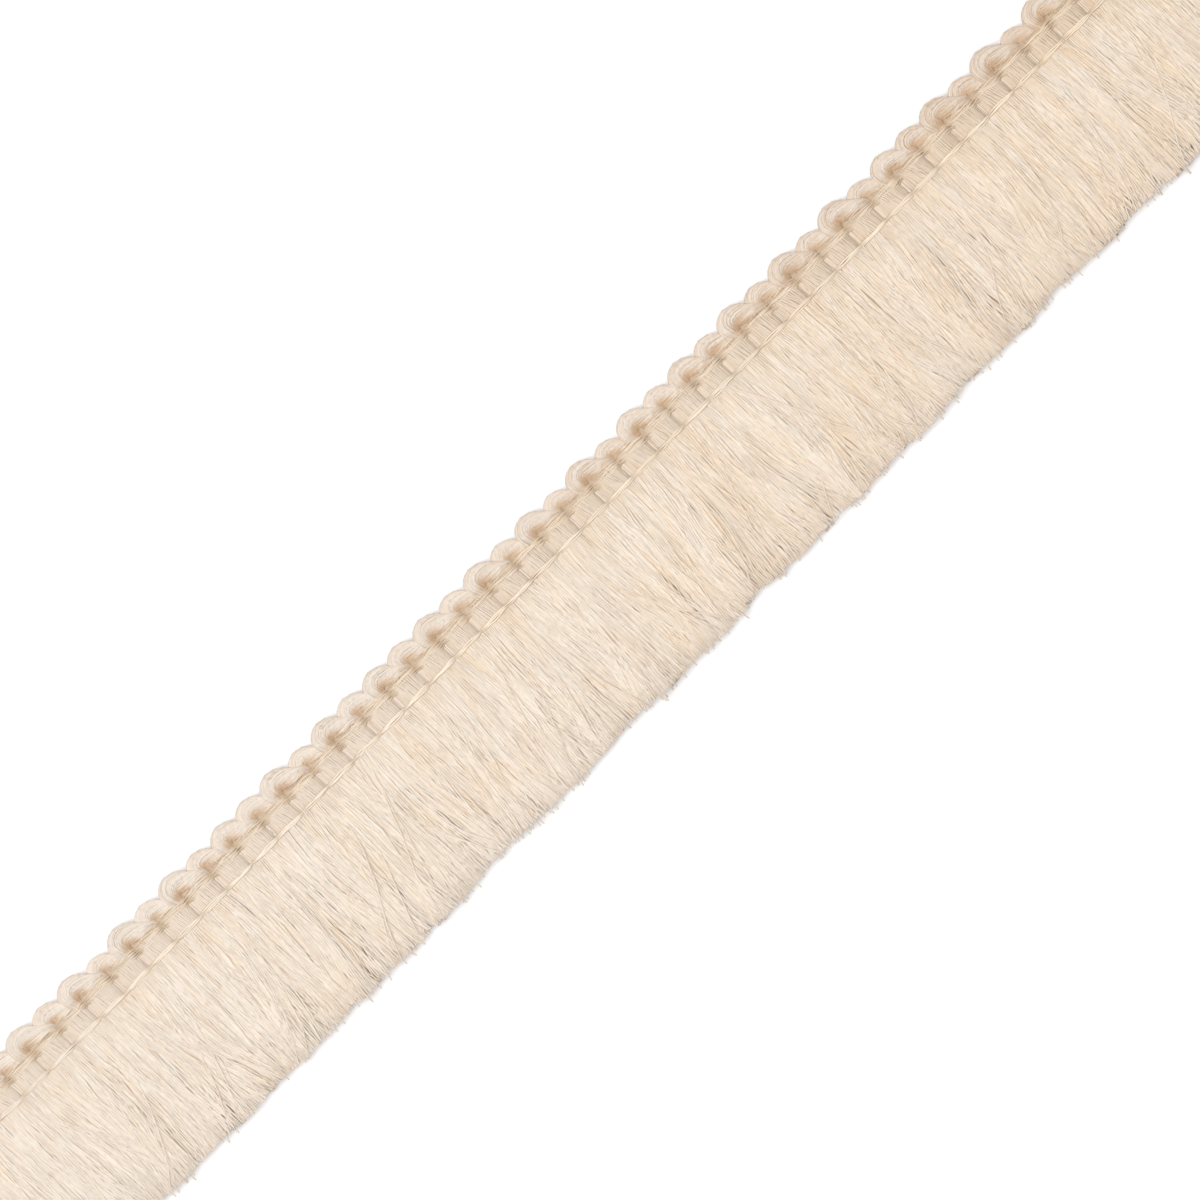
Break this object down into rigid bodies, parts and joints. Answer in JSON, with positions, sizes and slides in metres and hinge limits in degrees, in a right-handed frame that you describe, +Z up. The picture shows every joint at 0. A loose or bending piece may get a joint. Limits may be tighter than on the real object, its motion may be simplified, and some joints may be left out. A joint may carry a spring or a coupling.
{
  "type": "brush fringe trim",
  "caption": "Cut length of brush fringe: a looped edge and a heading bound by two lines of chain stitch, above a dense skirt of straight cut yarns, lying flat with its face up.",
  "frame": {"origin": "middle of the length and of the width, on the surface that the trim lies on", "axes": "+X along the trim, +Y towards the looped edge and away from the cut ends of the brush, +Z up out of the face"},
  "size_m": [0.3936, 0.05, 0.0044],
  "materials": {
    "loop_yarn": "soft combed cream yarn, fine parallel strands with a faint sheen",
    "ribbon_yarn": "flat ribbons of fine cream yarn, matt",
    "stitch_yarn": "fine twisted cream binding yarn, matt",
    "brush_yarn": "loose cut cream yarns, soft and matt with warm shade between them"
  },
  "bodies": {
    "root": {"looped_edge": "loop_yarn", "heading_band": "ribbon_yarn", "chain_upper": "stitch_yarn", "chain_lower": "stitch_yarn", "brush_skirt": "brush_yarn"}
  },
  "joints": []
}
